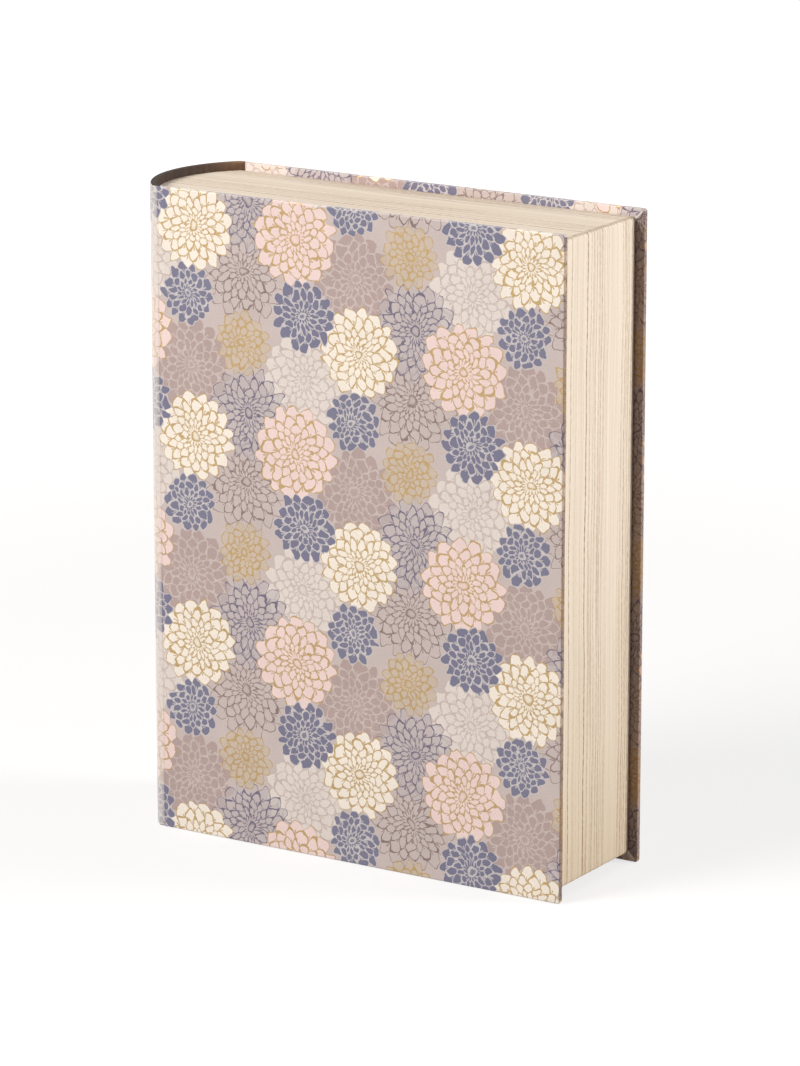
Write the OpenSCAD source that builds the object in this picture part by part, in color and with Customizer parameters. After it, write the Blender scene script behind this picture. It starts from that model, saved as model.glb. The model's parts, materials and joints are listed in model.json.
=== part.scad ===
// Book-shaped keepsake box, standing on the tail edges of its covers.
// X runs from the spine to the fore-edge, Y from the front cover to the back cover, Z from tail to head.
// The tray is laid out from the spine's front corner, and the whole is then centred on the floor.

/* [Overall] */
// Height of the covers, tail to head
height = 267; // [160:1:340]
// Width of a cover, from the spine's corner to the fore-edge
cover_w = 190.5; // [120:0.5:260]
// Thickness of the closed book, front face to back face
thickness = 64; // [40:1:90]
// How far the round spine stands out beyond its corners
spine_bulge = 13; // [6:0.5:18]

/* [Squares] */
// Overhang of the covers past the tray at head and tail
head_square = 3.4; // [2:0.1:8]
// Overhang of the covers past the tray at the fore-edge
fore_square = 4; // [2:0.1:10]

/* [Board and paper] */
// Greyboard in the front and back covers
cover_board_t = 1.8; // [1.2:0.1:3]
// Curved board in the spine
spine_board_t = 2; // [1.2:0.1:2.6]
// Board in the tray's walls
wall_board_t = 2.2; // [1.2:0.1:4]
// Board in the tray's base
base_board_t = 2; // [1.2:0.1:4]
// Covering and lining papers
paper_t = 0.3; // [0.2:0.05:0.4]
// Width of the cover paper turned in round the edges of a cover
turn_in_w = 14; // [8:0.5:25]
// Width of the page-edge paper turned over the rim into the tray
rim_turn_w = 10; // [5:0.5:20]
// Width of the page-edge paper turned under the base
base_turn_w = 11; // [6:0.5:20]

/* [Corners] */
// Radius of the fore-edge corners of the covers
cover_corner_r = 1; // [0.5:0.1:2]
// Radius of the fore-edge corners of the tray
tray_corner_r = 1.5; // [0.6:0.1:2.4]

/* [Front joint] */
// Distance of the crease from the spine's corner
crease_inset = 3; // [2.8:0.1:5]
// Radius of the paper fold on the hinge line
fold_r = 0.2; // [0.15:0.01:0.25]
// Distance of the cover's hinge edge from the hinge line
fold_clear = 0.5; // [0.45:0.05:0.8]
// Gap that is left under the cover when it lies flat open on the spine's end
open_gap = 0.05; // [0.05:0.01:0.3]
// Gap between the closed cover and the rim of the tray
rim_gap = 0.1; // [0.05:0.05:0.4]

/* [Fits] */
// Gap between the tray's rounded end and the lining of the spine
spine_seat = 0.1; // [0.05:0.05:0.3]
// Gap round a sheet or a plate that is let in flush
let_in_gap = 0.05; // [0.02:0.01:0.2]

/* [Closure] */
// Length of a magnet along the fore-edge
magnet_l = 12; // [6:0.5:20]
// Depth of a magnet below the rim
magnet_d = 5; // [3:0.5:10]
// Distance of a magnet's middle from the head or tail of the cover
magnet_inset = 56; // [30:1:70]
// Length of a steel keeper plate
plate_l = 14; // [8:0.5:24]
// Width of a steel keeper plate
plate_w = 8; // [4:0.5:9]
// Thickness of a steel keeper plate
plate_t = 0.6; // [0.3:0.1:1]

/* [Hidden] */

// Overshoot of a cut past the face that it opens
cut = 1;
// Steps in the round of the spine and of the folds
spine_fn = 180;
fold_fn = 32;
corner_fn = 48;

// Colours of the materials
print_paper = [0.75, 0.67, 0.65];
brown_paper = [0.36, 0.28, 0.23];
page_paper = [0.91, 0.85, 0.77];
greyboard = [0.62, 0.58, 0.53];
nickel = [0.72, 0.72, 0.74];
steel = [0.55, 0.57, 0.6];

// Centre of the whole on the floor
centre_x = (cover_w - spine_bulge) / 2;
centre_y = thickness / 2;

// Covers
cover_t = cover_board_t + 2 * paper_t;
cover_x0 = crease_inset + fold_clear;
board_x0 = cover_x0 + paper_t;

// Round spine: the outer arc passes through the spine's two corners
spine_r = (thickness * thickness / 4 + spine_bulge * spine_bulge) / (2 * spine_bulge);
spine_cx = spine_r - spine_bulge;
spine_board_r = spine_r - paper_t;
spine_lining_r = spine_board_r - spine_board_t;
spine_inner_r = spine_lining_r - paper_t;
// Outer face of the paper on the spine's end, which the open cover passes over
spine_end_y = 2 * fold_r + open_gap;
// The spine's end stops short of the fold
spine_end_x = crease_inset - fold_r;
// Start of the fold's neck, halfway between the fold and the edge of the open cover
neck_x = crease_inset - (fold_clear + fold_r) / 2;

// Tray, outside faces
tray_x0 = crease_inset + paper_t / 2;
tray_x1 = cover_w - fore_square;
tray_z0 = head_square;
tray_z1 = height - head_square;
rim_y = cover_t + rim_gap;
base_y = thickness - cover_t;
// Outside faces of the tray's boards
wall_x1 = tray_x1 - paper_t;
wall_z0 = tray_z0 + paper_t;
wall_z1 = tray_z1 - paper_t;
wall_y0 = rim_y + paper_t;
wall_y1 = base_y - paper_t;
// Inside faces of the tray's walls
inner_x0 = tray_x0 + wall_board_t;
inner_x1 = wall_x1 - wall_board_t;
inner_z0 = wall_z0 + wall_board_t;
inner_z1 = wall_z1 - wall_board_t;
base_top_y = wall_y1 - base_board_t;
rim_turn_y = rim_y + rim_turn_w;

// Closure
wall_mid_x = wall_x1 - wall_board_t / 2;
magnet_zs = [magnet_inset, height - magnet_inset];

// A block given by its lowest and highest corners
module block(low, high) {
    translate(low)
        cube(high - low);
}

// A block whose two fore-edge corners have the radius r, seen from the front
module fore_block(low, high, r) {
    translate([0, high[1], 0])
        rotate([90, 0, 0])
            linear_extrude(high[1] - low[1]) {
                translate([low[0], low[2]])
                    square([high[0] - r - low[0], high[2] - low[2]]);
                translate([low[0], low[2] + r])
                    square([high[0] - low[0], high[2] - low[2] - 2 * r]);
                for (z = [low[2] + r, high[2] - r])
                    translate([high[0] - r, z])
                        circle(r, $fn = corner_fn);
            }
}

// Moves the layout from the spine's front corner to the middle of the floor
module placed() {
    translate([-centre_x, -centre_y, 0])
        children();
}

// Outline of everything inside the spine's arc of radius r, between end_y and its mirror image, up to end_x
module spine_slice(r, end_y, end_x) {
    intersection() {
        translate([spine_cx, centre_y])
            circle(r, $fn = spine_fn);
        translate([-spine_bulge - cut, end_y])
            square([spine_bulge + cut + end_x, thickness - 2 * end_y]);
    }
}

// Outline of a layer of the spine between two radii, cut square at its two ends
module spine_layer(r_out, r_in, end_y, end_x) {
    difference() {
        spine_slice(r_out, end_y, end_x);
        translate([spine_cx, centre_y])
            circle(r_in, $fn = spine_fn);
    }
}

// The outline and its mirror image at the back of the book
module front_and_back() {
    children();
    translate([0, thickness])
        mirror([0, 1])
            children();
}

// Outline of the paper on the spine's round and on its two ends
module spine_skin() {
    difference() {
        spine_slice(spine_r, spine_end_y, spine_end_x);
        spine_slice(spine_board_r, spine_end_y + paper_t, spine_end_x + cut);
    }
}

// Round fold on the hinge line, with the neck that joins it to the paper on the spine's end
module spine_end_fold() {
    polygon([
        [neck_x, spine_end_y],
        [crease_inset - fold_r / 2, fold_r / 2],
        [crease_inset - fold_r / 2, fold_r],
        [spine_end_x, spine_end_y + paper_t / 3],
    ]);
    translate([crease_inset, fold_r])
        circle(fold_r, $fn = fold_fn);
}

// Rounded end of the tray inside the spine
module cap_outline(y0, y1) {
    intersection() {
        translate([spine_cx, centre_y])
            circle(spine_inner_r - spine_seat, $fn = spine_fn);
        translate([-spine_bulge, y0])
            square([spine_bulge + tray_x0, y1 - y0]);
    }
}

// Paper round one cover: outer face, three edges and their turn-ins
module cover_paper() {
    difference() {
        fore_block([cover_x0, 0, 0], [cover_w, cover_t, height], cover_corner_r);
        fore_block(
            [cover_x0 - cut, paper_t, paper_t],
            [cover_w - paper_t, cover_t - paper_t, height - paper_t],
            cover_corner_r - paper_t
        );
        block(
            [cover_x0 - cut, cover_t / 2, turn_in_w],
            [cover_w - turn_in_w, cover_t + cut, height - turn_in_w]
        );
    }
}

// Greyboard of one cover
module cover_board() {
    fore_block(
        [board_x0, paper_t, paper_t],
        [cover_w - paper_t, cover_t - paper_t, height - paper_t],
        cover_corner_r - paper_t
    );
}

// Everything inside the tray's outer paper, with rounded fore-edge corners
module tray_room() {
    fore_block([-spine_bulge - cut, wall_y0, wall_z0], [wall_x1, wall_y1, wall_z1], tray_corner_r - paper_t);
}

// The front cover's shape turned into the back cover's
module at_back() {
    translate([0, thickness, 0])
        mirror([0, 1, 0])
            children();
}

module front_board() {
    color(greyboard)
        placed()
            difference() {
                cover_board();
                for (z = magnet_zs)
                    block(
                        [
                            wall_mid_x - plate_w / 2 - let_in_gap,
                            cover_t - paper_t - plate_t,
                            z - plate_l / 2 - let_in_gap
                        ],
                        [
                            wall_mid_x + plate_w / 2 + let_in_gap,
                            cover_t,
                            z + plate_l / 2 + let_in_gap
                        ]
                    );
            }
}

module front_cover_paper() {
    color(print_paper)
        placed()
            cover_paper();
}

module front_lining() {
    color(brown_paper)
        placed() {
            block(
                [cover_x0, cover_t - paper_t, turn_in_w + let_in_gap],
                [cover_w - turn_in_w - let_in_gap, cover_t, height - turn_in_w - let_in_gap]
            );
            block([cover_x0, paper_t, paper_t], [board_x0, cover_t - paper_t, height - paper_t]);
        }
}

module keeper_plates() {
    color(steel)
        placed()
            for (z = magnet_zs)
                block(
                    [wall_mid_x - plate_w / 2, cover_t - paper_t - plate_t, z - plate_l / 2],
                    [wall_mid_x + plate_w / 2, cover_t - paper_t, z + plate_l / 2]
                );
}

module back_board() {
    color(greyboard)
        placed()
            at_back()
                cover_board();
}

module back_cover_paper() {
    color(print_paper)
        placed()
            at_back()
                cover_paper();
}

module spine_board() {
    color(greyboard)
        placed()
            translate([0, 0, paper_t])
                linear_extrude(height - 2 * paper_t)
                    spine_layer(spine_board_r, spine_lining_r, spine_end_y + paper_t, spine_end_x);
}

module spine_paper() {
    color(print_paper)
        placed() {
            linear_extrude(height) {
                spine_skin();
                front_and_back()
                    spine_end_fold();
            }
            for (z = [0, height - paper_t])
                translate([0, 0, z])
                    linear_extrude(paper_t)
                        spine_layer(spine_r, spine_lining_r, spine_end_y, spine_end_x);
        }
}

module spine_lining() {
    color(brown_paper)
        placed()
            translate([0, 0, paper_t])
                linear_extrude(height - 2 * paper_t)
                    spine_layer(spine_lining_r, spine_inner_r, spine_end_y + paper_t, spine_end_x);
}

module tray_base_board() {
    color(greyboard)
        placed()
            block([inner_x0, base_top_y, inner_z0], [inner_x1, wall_y1, inner_z1]);
}

module head_wall_board() {
    color(greyboard)
        placed()
            intersection() {
                tray_room();
                block([tray_x0, rim_y, inner_z1], [tray_x1, base_y, tray_z1]);
            }
}

module tail_wall_board() {
    color(greyboard)
        placed()
            intersection() {
                tray_room();
                block([tray_x0, rim_y, tray_z0], [tray_x1, base_y, inner_z0]);
            }
}

module fore_edge_wall_board() {
    color(greyboard)
        placed()
            difference() {
                block([inner_x1, wall_y0, inner_z0], [wall_x1, wall_y1, inner_z1]);
                for (z = magnet_zs)
                    block(
                        [inner_x1 - cut, wall_y0 - cut, z - magnet_l / 2],
                        [wall_x1 + cut, wall_y0 + magnet_d, z + magnet_l / 2]
                    );
            }
}

module spine_wall_board() {
    color(greyboard)
        placed()
            block([tray_x0, wall_y0, inner_z0], [inner_x0, wall_y1, inner_z1]);
}

module head_spine_cap() {
    color(greyboard)
        placed()
            translate([0, 0, inner_z1])
                linear_extrude(wall_board_t)
                    cap_outline(wall_y0, wall_y1);
}

module tail_spine_cap() {
    color(greyboard)
        placed()
            translate([0, 0, wall_z0])
                linear_extrude(wall_board_t)
                    cap_outline(wall_y0, wall_y1);
}

// Tray seen from its head: the rounded end and the straight sides in one outline
module tray_outline() {
    intersection() {
        union() {
            translate([spine_cx, centre_y])
                circle(spine_inner_r - spine_seat, $fn = spine_fn);
            translate([tray_x0, 0])
                square([tray_x1 - tray_x0, thickness]);
        }
        translate([-spine_bulge, rim_y])
            square([spine_bulge + tray_x1, base_y - rim_y]);
    }
}

module page_edge_paper() {
    color(page_paper)
        placed() {
            difference() {
                intersection() {
                    linear_extrude(height)
                        tray_outline();
                    fore_block(
                        [-spine_bulge - cut, rim_y - cut, tray_z0],
                        [tray_x1, base_y + cut, tray_z1],
                        tray_corner_r
                    );
                }
                tray_room();
                block([-spine_bulge - cut, rim_y - cut, inner_z0], [tray_x0, base_y + cut, inner_z1]);
                block([tray_x0 - cut, rim_y - cut, inner_z0], [inner_x1, centre_y, inner_z1]);
                block(
                    [tray_x0 - cut, centre_y, tray_z0 + base_turn_w],
                    [tray_x1 - base_turn_w, base_y + cut, tray_z1 - base_turn_w]
                );
            }
            difference() {
                block([inner_x0, rim_y, inner_z0], [inner_x1, rim_turn_y, inner_z1]);
                block(
                    [inner_x0 - cut, rim_y - cut, inner_z0 + paper_t],
                    [inner_x1 - paper_t, rim_turn_y + cut, inner_z1 - paper_t]
                );
            }
        }
}

module tray_wall_lining() {
    color(brown_paper)
        placed()
            difference() {
                block([inner_x0, rim_turn_y, inner_z0], [inner_x1, base_top_y, inner_z1]);
                block(
                    [inner_x0 + paper_t, rim_turn_y - cut, inner_z0 + paper_t],
                    [inner_x1 - paper_t, base_top_y + cut, inner_z1 - paper_t]
                );
            }
}

module tray_floor_lining() {
    color(brown_paper)
        placed()
            block(
                [inner_x0 + paper_t, base_top_y - paper_t, inner_z0 + paper_t],
                [inner_x1 - paper_t, base_top_y, inner_z1 - paper_t]
            );
}

// Strip from the hinge line up beside the cover's edge, over the rim and down inside the tray
module hinge_strip() {
    z0 = inner_z0 + paper_t;
    z1 = inner_z1 - paper_t;
    color(brown_paper)
        placed() {
            block([tray_x0 - paper_t, spine_end_y, z0], [tray_x0, wall_y0, z1]);
            block([tray_x0 - paper_t, rim_y, z0], [inner_x0 + paper_t, wall_y0, z1]);
            block([inner_x0, rim_y, z0], [inner_x0 + paper_t, rim_turn_y, z1]);
        }
}

module closure_magnets() {
    color(nickel)
        placed()
            for (z = magnet_zs)
                block(
                    [inner_x1, wall_y0, z - magnet_l / 2],
                    [wall_x1, wall_y0 + magnet_d, z + magnet_l / 2]
                );
}

front_board();
front_cover_paper();
front_lining();
keeper_plates();
back_board();
back_cover_paper();
spine_board();
spine_paper();
spine_lining();
tray_base_board();
head_wall_board();
tail_wall_board();
fore_edge_wall_board();
spine_wall_board();
head_spine_cap();
tail_spine_cap();
page_edge_paper();
tray_wall_lining();
tray_floor_lining();
hinge_strip();
closure_magnets();
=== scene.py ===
import json
import math
import bmesh
import bpy
import numpy as np
from mathutils import Matrix, Vector


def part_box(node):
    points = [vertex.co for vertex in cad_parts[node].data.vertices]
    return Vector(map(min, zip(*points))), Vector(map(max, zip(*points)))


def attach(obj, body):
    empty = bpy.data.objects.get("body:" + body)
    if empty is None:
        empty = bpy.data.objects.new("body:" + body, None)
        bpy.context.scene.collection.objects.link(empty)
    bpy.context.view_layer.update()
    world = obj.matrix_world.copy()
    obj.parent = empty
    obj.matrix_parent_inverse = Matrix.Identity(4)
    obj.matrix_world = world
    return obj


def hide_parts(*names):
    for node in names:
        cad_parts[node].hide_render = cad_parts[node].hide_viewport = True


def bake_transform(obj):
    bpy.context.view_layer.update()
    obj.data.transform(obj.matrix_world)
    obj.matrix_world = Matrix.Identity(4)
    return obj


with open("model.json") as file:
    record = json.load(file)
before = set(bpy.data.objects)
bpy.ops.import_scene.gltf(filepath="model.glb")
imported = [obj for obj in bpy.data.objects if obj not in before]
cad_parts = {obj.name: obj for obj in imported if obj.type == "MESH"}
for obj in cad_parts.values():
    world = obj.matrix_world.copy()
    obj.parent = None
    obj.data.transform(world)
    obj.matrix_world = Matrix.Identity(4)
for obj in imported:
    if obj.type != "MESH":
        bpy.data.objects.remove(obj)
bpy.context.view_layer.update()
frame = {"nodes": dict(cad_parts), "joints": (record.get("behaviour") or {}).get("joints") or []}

# The book is laid out in millimetres from the front corner of its spine:
# X to the fore-edge, Y from the front cover to the back cover, Z from tail to head.
mm = 0.001
creaseInset = 3.0  # from the spine's corner to the hinge line
hinge = np.array(frame["joints"][0]["pos_m"]) / mm
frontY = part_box("front_cover_paper")[0].y / mm
layoutStart = np.array([hinge[0] - creaseInset, frontY, 0.0])


def nodeBox(node):  # lowest and highest corner of a CAD node, in the book's millimetres
    low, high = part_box(node)
    return np.array(low) / mm - layoutStart, np.array(high) / mm - layoutStart


coverLow, coverHigh = nodeBox("front_cover_paper")
backLow, backHigh = nodeBox("back_cover_paper")
pageLow, pageHigh = nodeBox("page_edge_paper")
height = coverHigh[2]
coverWide = coverHigh[0]
coverThick = coverHigh[1]
bookThick = backHigh[1]
hingeX = creaseInset
stepStart = hingeX - 0.5  # the soft step of both joints is 1 mm wide, with the hinge line in its middle
paperThick = 0.3  # of the solids' papers

spine = dict(
    bulge=-nodeBox("spine_paper")[0][0],
    shell=2.3,  # board with the paper on its outside
    lining=paperThick,
    endY=0.45,  # the paper on the spine's end, set back for the open cover
    cornerR=1.0,
    straightSteps=8, cornerSteps=9, arcSteps=121, stepSteps=15,
)
spine["radius"] = (bookThick**2 / 4 + spine["bulge"] ** 2) / (2 * spine["bulge"])
spine["centreX"] = spine["radius"] - spine["bulge"]
spine["centreY"] = bookThick / 2


# Grids to meshes

# Joins every point of each grid to the next row and column, welds equal points and turns the faces away from
# inside. Each grid comes with its map in millimetres and its wear and painted light: 1 for bare, paler paper,
# 0 for fresh and -1 for paper darkened by a painted shade.
def makePiece(name, grids, material, inside, weld=0.002):
    spots, quads, flat, rubbedAndPaintedLight, start = [], [], [], [], 0
    for points, uv, *wearAndPaintedLight in grids:
        rows, cols = points.shape[:2]
        rubbedAndPaintedLight.append(np.broadcast_to(wearAndPaintedLight[0] if wearAndPaintedLight else 0.0, (rows, cols)).ravel())
        number = start + np.arange(rows * cols).reshape(rows, cols)
        ring = [number[:-1, :-1], number[:-1, 1:], number[1:, 1:], number[1:, :-1]]
        quads.append(np.stack(ring, -1).reshape(-1, 4))
        spots.append(points.reshape(-1, 3))
        flat.append(uv.reshape(-1, 2))
        start += rows * cols
    spots = (np.concatenate(spots) + layoutStart) * mm
    mesh = bpy.data.meshes.new(name)
    mesh.from_pydata(spots.tolist(), [], np.concatenate(quads).tolist())
    corners = np.empty(len(mesh.loops), np.int32)
    mesh.loops.foreach_get("vertex_index", corners)
    mesh.uv_layers.new(name="paperMap").data.foreach_set("uv", np.concatenate(flat)[corners].ravel())
    mesh.attributes.new("wearAndPaintedLight", "FLOAT", "POINT").data.foreach_set("value", np.concatenate(rubbedAndPaintedLight))
    work = bmesh.new()
    work.from_mesh(mesh)
    bmesh.ops.remove_doubles(work, verts=work.verts, dist=weld * mm)
    bmesh.ops.dissolve_degenerate(work, edges=work.edges, dist=weld * mm / 2)
    bmesh.ops.recalc_face_normals(work, faces=work.faces)
    middle = (np.array(inside) + layoutStart) * mm
    areas = np.array([f.calc_area() for f in work.faces])
    normals = np.array([f.normal for f in work.faces])
    centres = np.array([f.calc_center_median() for f in work.faces])
    if (areas * ((centres - middle) * normals).sum(1)).sum() < 0:
        bmesh.ops.reverse_faces(work, faces=work.faces)
    work.to_mesh(mesh)
    work.free()
    mesh.polygons.foreach_set("use_smooth", np.ones(len(mesh.polygons), bool))
    mesh.materials.append(material)
    piece = bpy.data.objects.new(name, mesh)
    bpy.context.scene.collection.objects.link(piece)
    return piece


# Gives a sheet its thickness on the side away from its face. Weighted normals keep large
# faces flat up to the rim.
def giveThickness(piece, thick):
    wall = piece.modifiers.new("paperThickness", "SOLIDIFY")
    wall.thickness = thick * mm
    wall.offset = -1
    piece.modifiers.new("evenShading", "WEIGHTED_NORMAL")
    return wall


# Running length of a profile, from the distances between its points.
def lengthAlong(*coordinates):
    steps = np.sqrt(sum(np.diff(c) ** 2 for c in coordinates))
    return np.concatenate([[0.0], np.cumsum(steps)])


# Section of a paper that folds round an edge: from inset on the outer face (y = 0), round a quarter circle
# of radius r, across the thickness, round a second quarter circle and back to turnIn on the inner face.
def foldedEdge(inset, r, thick, turnIn, steps):
    a = np.linspace(0, math.pi / 2, steps)
    past = r + 0.12  # a row just past the fold keeps the flat part's shading even
    d = np.concatenate([[inset, past], r - r * np.sin(a), r - r * np.cos(a), [past, inset, turnIn]])
    y = np.concatenate([[0, 0], r - r * np.cos(a), thick - r + r * np.sin(a), [thick, thick, thick]])
    return d, y


# Carries a section (d inwards, y across) round the tail, fore-edge and head of a rectangle. A row is a place
# on the way round. Up to the corner radius the section fans round the corner, further in it is mitred. Rows
# lie close by each mitre, so that its cut edge can be marked.
mitreStep = 0.9  # mm, from a mitre to the rows beside it


def sweepThreeSides(x0, x1, z0, z1, cornerR, d, sideSteps, foreSteps, arcSteps):
    side = np.append(np.linspace(0, 1 - mitreStep / (x1 - np.min(x0)), sideSteps - 1), 1)
    fore = np.concatenate([[0], np.linspace(mitreStep, z1 - z0 - mitreStep, foreSteps - 2) / (z1 - z0), [1]])
    arc = np.linspace(0, math.pi / 2, arcSteps)
    still, full = np.zeros(sideSteps), np.ones(foreSteps)
    alongX = np.concatenate([side, np.ones(arcSteps), full, np.ones(arcSteps), side[::-1]])[:, None]
    alongZ = np.concatenate([still, np.zeros(arcSteps), fore, np.ones(arcSteps), still + 1])[:, None]
    outX = np.concatenate([still, np.sin(arc), full, np.cos(arc), still])[:, None]
    outZ = np.concatenate([still - 1, -np.cos(arc), full * 0, np.sin(arc), still + 1])[:, None]
    outX, outZ = outX.round(9), outZ.round(9)
    inner, reach = np.maximum(d, cornerR), np.maximum(cornerR - d, 0)
    x = x0 + alongX * (x1 - inner - x0) + outX * reach
    z = z0 + inner + alongZ * (z1 - z0 - 2 * inner) + outZ * reach
    return x, z, outX, outZ


# Node trees

# Adds one node, sets its properties and fills its sockets in order or by name with values or links.
def addNode(tree, kind, *inputs, named=None, **settings):
    made = tree.nodes.new("ShaderNode" + kind)
    for key, value in settings.items():
        setattr(made, key, value)
    filled = list(zip(made.inputs, inputs)) + [(made.inputs[key], v) for key, v in (named or {}).items()]
    for socket, value in filled:
        if isinstance(value, bpy.types.NodeSocket):
            tree.links.new(value, socket)
        elif value is not None:
            socket.default_value = value
    return made.outputs[0] if made.outputs else made


# sRGB hex to linear colour.
def toLinear(colour):
    parts = np.array([int(colour[i:i + 2], 16) for i in (1, 3, 5)]) / 255
    linear = np.where(parts <= 0.04045, parts / 12.92, ((parts + 0.055) / 1.055) ** 2.4)
    return (*linear.tolist(), 1.0)


# An empty material and its tree.
def newMaterial(name):
    material = bpy.data.materials.new(name)
    material.use_nodes = True
    material.node_tree.nodes.clear()
    return material, material.node_tree


# Covering paper, matt offset print with a fine felt grain that also mottles the ink. The print is an allover
# of round rosettes, each a set of rings of equal petals, in half-drop repeat. Lines in gold ink shine more
# than the paper does.
printDesign = dict(
    cell=(78.0, 86.0),  # mm, each column of cells drops by half a cell
    origin=(20.0, 6.0),  # where the spine's front corner at the tail lies in the cell
    ground="#CFBEB8",
    core="#EBE1D8",  # the paper under the ink, bare at cut edges
    soilAndShade="#AC9682",  # painted shade, multiplied into the print
    wobble=(2.1, 9.0, 0.6, 2.8),  # mm: strength and size of the large and the small waver of the drawn lines
    grow=0.82,  # rings get wider outwards below 1
    turn=0.7,  # radians that the petals turn from one column to the next
    edge=0.25,  # mm, soft edge of a line
    middleLine=0.7,  # how far up the ring a petal's middle line runs
    sideLines=(0.46, 0.42),  # the same for its side lines, and their distance from the middle
)
# name, centre in the cell, radius, petals, rings, how far petals reach over the next ring, roundness of the
# tips, fill, cover of the fill, line colour, line width, gold
rosettes = [
    ("paleRose", (14, 73), 19.5, 15, 5, 0.80, 2.0, "#EADDD3", 0.9, "#CDBAB1", 0.50, False),
    ("dustyRose", (38, 30), 19.0, 16, 5, 0.80, 1.9, "#B8A09A", 1.0, "#CFBEB6", 0.50, False),
    ("mauveOutline", (64, 71), 20.5, 17, 5, 0.85, 1.8, "#C9B8B2", 0.40, "#8B7570", 0.42, False),
    ("slateOutline", (66, 13), 19.5, 18, 5, 0.85, 1.7, "#C3B7B6", 0.60, "#74697C", 0.48, False),
    ("goldOutline", (63, 42), 13.0, 14, 4, 0.80, 2.0, "#CEBAA4", 0.8, "#BF9E6A", 0.52, True),
    ("cream", (40, 1), 18.5, 16, 5, 0.85, 1.9, "#FBEEDF", 1.0, "#C0A06A", 0.55, True),
    ("pink", (10, 43), 19.5, 15, 5, 0.85, 2.0, "#F3D8D1", 1.0, "#BF9E6A", 0.58, True),
    ("slateLarge", (14, 13), 14.5, 15, 4, 0.80, 2.0, "#78758B", 1.0, "#CFC6C4", 0.50, False),
    ("slateSmall", (37, 59), 12.5, 14, 4, 0.80, 2.0, "#7B788D", 1.0, "#CFC6C4", 0.50, False),
]


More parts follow.
